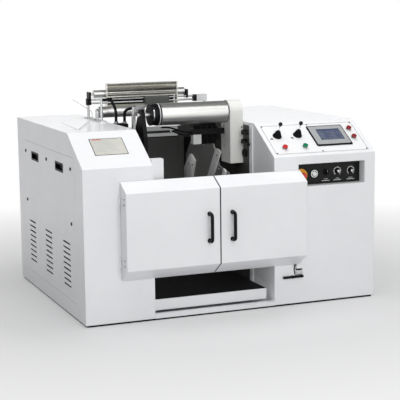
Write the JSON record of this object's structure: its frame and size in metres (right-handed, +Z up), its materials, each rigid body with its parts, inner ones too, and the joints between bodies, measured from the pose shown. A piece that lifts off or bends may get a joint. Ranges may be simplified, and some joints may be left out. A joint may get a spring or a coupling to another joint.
{
  "type": "warping machine",
  "caption": "free-standing warping machine with two white cabinets, hinged guard doors, a lift table, beam chucks, measuring and guide rollers, a reed and a sloped control console",
  "frame": {"origin": "the middle of the whole machine's width and depth, on the floor under its feet", "axes": "+X to the operator's right along the beam, +Y from the doors to the back, +Z up"},
  "size_m": [2.088, 1.819, 1.459],
  "materials": {
    "white_enamel": "glossy powder coat",
    "grey_enamel": "semi-gloss powder coat",
    "beige_enamel": "satin powder coat",
    "dark_enamel": "satin black enamel",
    "machined_steel": "turned and ground",
    "cast_frame": "machined casting",
    "hard_chrome": "ground hard chrome",
    "anodised_rail": "satin anodised",
    "plain_aluminium": "satin",
    "black_plastic": "fine texture",
    "black_gloss": "glossy",
    "black_rubber": "matt",
    "grey_plastic": "fine texture",
    "display": "smooth lit panel",
    "red_cap": "glossy",
    "green_cap": "glossy",
    "dark_red_cap": "glossy"
  },
  "bodies": {
    "frame": {"air_hoses": "black_rubber", "base_frame": "white_enamel", "bay_liners": "grey_enamel", "bearing_housings": "cast_frame", "black_fittings": "black_plastic", "brake_cylinder": "plain_aluminium", "button_bezels": "hard_chrome", "console_plate": "white_enamel", "door_hardware": "hard_chrome", "drive_belt": "black_rubber", "drive_motor": "grey_enamel", "guide_rods": "hard_chrome", "headstock_plate": "cast_frame", "instrument_panel": "black_gloss", "joystick_boots": "black_rubber", "left_arm": "grey_enamel", "left_cabinet": "white_enamel", "levelling_feet": "black_rubber", "lift_guides": "hard_chrome", "recess_tray": "white_enamel", "reed_stands": "plain_aluminium", "right_arm_cover": "beige_enamel", "right_cabinet": "white_enamel", "rod_blocks": "dark_enamel", "screen_frame": "grey_plastic", "screen_glass": "display", "service_panels": "white_enamel", "tailstock_housing": "cast_frame", "yarn_monitor": "grey_plastic"},
    "left_door": {"left_door": "white_enamel", "left_door_handle": "black_plastic"},
    "right_door": {"right_door": "white_enamel", "right_door_handle": "black_plastic"},
    "latch_lever": {"latch_lever": "dark_enamel"},
    "lift_table": {"lift_table": "white_enamel", "lift_mat": "black_rubber"},
    "head_spindle": {"head_spindle": "machined_steel"},
    "motor_pulley": {"motor_pulley": "machined_steel"},
    "tail_quill": {"tail_quill": "machined_steel"},
    "tail_chuck": {"tail_chuck": "machined_steel"},
    "measuring_roller": {"measuring_roller": "hard_chrome", "roller_discs": "dark_enamel"},
    "upper_roller": {"upper_roller": "hard_chrome"},
    "lower_roller": {"lower_roller": "machined_steel"},
    "reed": {"reed_plate": "anodised_rail", "reed_comb": "machined_steel", "reed_carriage": "dark_enamel"},
    "joystick_1": {"joystick_1": "hard_chrome"},
    "joystick_2": {"joystick_2": "hard_chrome"},
    "red_button": {"red_button": "red_cap"},
    "green_button": {"green_button": "green_cap"},
    "upper_button": {"upper_button": "dark_red_cap"},
    "lower_button": {"lower_button": "dark_red_cap"},
    "stop_button": {"stop_button": "red_cap"},
    "key_barrel": {"key_barrel": "hard_chrome"},
    "selector_knob": {"selector_knob": "black_plastic"},
    "speed_knob_1": {"speed_knob_1": "black_plastic"},
    "speed_knob_2": {"speed_knob_2": "black_plastic"},
    "upper_clamp_lever": {"upper_clamp_lever": "black_plastic"},
    "lower_clamp_lever": {"lower_clamp_lever": "black_plastic"}
  },
  "joints": [
    {"name": "left_door_swing", "type": "hinge", "parent": "frame", "child": "left_door", "pos_m": [-0.801, -0.7418, 0.601], "axis": [0, 0, 1], "range_deg": [-88, 0]},
    {"name": "right_door_swing", "type": "hinge", "parent": "frame", "child": "right_door", "pos_m": [0.471, -0.7418, 0.601], "axis": [0, 0, 1], "range_deg": [0, 88]},
    {"name": "latch_turn", "type": "hinge", "parent": "frame", "child": "latch_lever", "pos_m": [0.409, -0.7455, 0.197], "axis": [0, 1, 0], "range_deg": [0, 90]},
    {"name": "table_lift", "type": "slide", "parent": "frame", "child": "lift_table", "axis": [0, 0, 1], "range_m": [0, 0.26]},
    {"name": "spindle_turn", "type": "hinge", "parent": "frame", "child": "head_spindle", "pos_m": [0.13, -0.1755, 0.652], "axis": [1, 0, 0], "continuous": true},
    {"name": "motor_turn", "type": "hinge", "parent": "frame", "child": "motor_pulley", "pos_m": [0.33, 0.1945, 0.272], "axis": [1, 0, 0], "continuous": true},
    {"name": "quill_slide", "type": "slide", "parent": "frame", "child": "tail_quill", "axis": [1, 0, 0], "range_m": [-0.025, 0.05]},
    {"name": "tail_chuck_turn", "type": "hinge", "parent": "tail_quill", "child": "tail_chuck", "pos_m": [-0.4, -0.1755, 0.652], "axis": [1, 0, 0], "continuous": true},
    {"name": "measuring_roller_turn", "type": "hinge", "parent": "frame", "child": "measuring_roller", "pos_m": [-0.07, -0.1585, 1.28], "axis": [1, 0, 0], "continuous": true},
    {"name": "upper_roller_turn", "type": "hinge", "parent": "frame", "child": "upper_roller", "pos_m": [-0.2, 0.5705, 1.382], "axis": [1, 0, 0], "continuous": true},
    {"name": "lower_roller_turn", "type": "hinge", "parent": "frame", "child": "lower_roller", "pos_m": [-0.146, 0.2865, 1.274], "axis": [1, 0, 0], "continuous": true},
    {"name": "reed_shift", "type": "slide", "parent": "frame", "child": "reed", "axis": [1, 0, 0], "range_m": [-0.03, 0.03]},
    {"name": "joystick_1_tilt", "type": "hinge", "parent": "frame", "child": "joystick_1", "pos_m": [0.39, -0.54692, 1.12913], "axis": [1, 0, 0], "range_deg": [-12, 12], "stiffness_Nm_per_rad": 6},
    {"name": "joystick_2_tilt", "type": "hinge", "parent": "frame", "child": "joystick_2", "pos_m": [0.543, -0.54692, 1.12913], "axis": [1, 0, 0], "range_deg": [-12, 12], "stiffness_Nm_per_rad": 6},
    {"name": "red_button_press", "type": "slide", "parent": "frame", "child": "red_button", "axis": [0, 0.5276, -0.8495], "range_m": [0, 0.004], "stiffness_N_per_m": 600, "springref_m": -0.002},
    {"name": "green_button_press", "type": "slide", "parent": "frame", "child": "green_button", "axis": [0, 0.5276, -0.8495], "range_m": [0, 0.004], "stiffness_N_per_m": 600, "springref_m": -0.002},
    {"name": "upper_button_press", "type": "slide", "parent": "frame", "child": "upper_button", "axis": [0, 0.5276, -0.8495], "range_m": [0, 0.004], "stiffness_N_per_m": 600, "springref_m": -0.002},
    {"name": "lower_button_press", "type": "slide", "parent": "frame", "child": "lower_button", "axis": [0, 0.5276, -0.8495], "range_m": [0, 0.004], "stiffness_N_per_m": 600, "springref_m": -0.002},
    {"name": "stop_button_press", "type": "slide", "parent": "frame", "child": "stop_button", "axis": [0, 1, 0], "range_m": [0, 0.005]},
    {"name": "key_turn", "type": "hinge", "parent": "frame", "child": "key_barrel", "pos_m": [0.612, -0.6735, 0.877], "axis": [0, 1, 0], "range_deg": [0, 90]},
    {"name": "selector_turn", "type": "hinge", "parent": "frame", "child": "selector_knob", "pos_m": [0.7, -0.6755, 0.884], "axis": [0, 1, 0], "range_deg": [-45, 45]},
    {"name": "speed_knob_1_turn", "type": "hinge", "parent": "frame", "child": "speed_knob_1", "pos_m": [0.788, -0.6755, 0.886], "axis": [0, 1, 0], "range_deg": [-140, 140]},
    {"name": "speed_knob_2_turn", "type": "hinge", "parent": "frame", "child": "speed_knob_2", "pos_m": [0.891, -0.6755, 0.885], "axis": [0, 1, 0], "range_deg": [-140, 140]},
    {"name": "upper_clamp_turn", "type": "hinge", "parent": "frame", "child": "upper_clamp_lever", "pos_m": [0.26, -0.2955, 1.144], "axis": [1, 0, 0], "range_deg": [-60, 0]},
    {"name": "lower_clamp_turn", "type": "hinge", "parent": "frame", "child": "lower_clamp_lever", "pos_m": [0.26, -0.2935, 1.082], "axis": [1, 0, 0], "range_deg": [0, 60]}
  ],
  "couplings": [
    {"joint": "motor_turn", "follows": "spindle_turn", "ratio": 2}
  ]
}
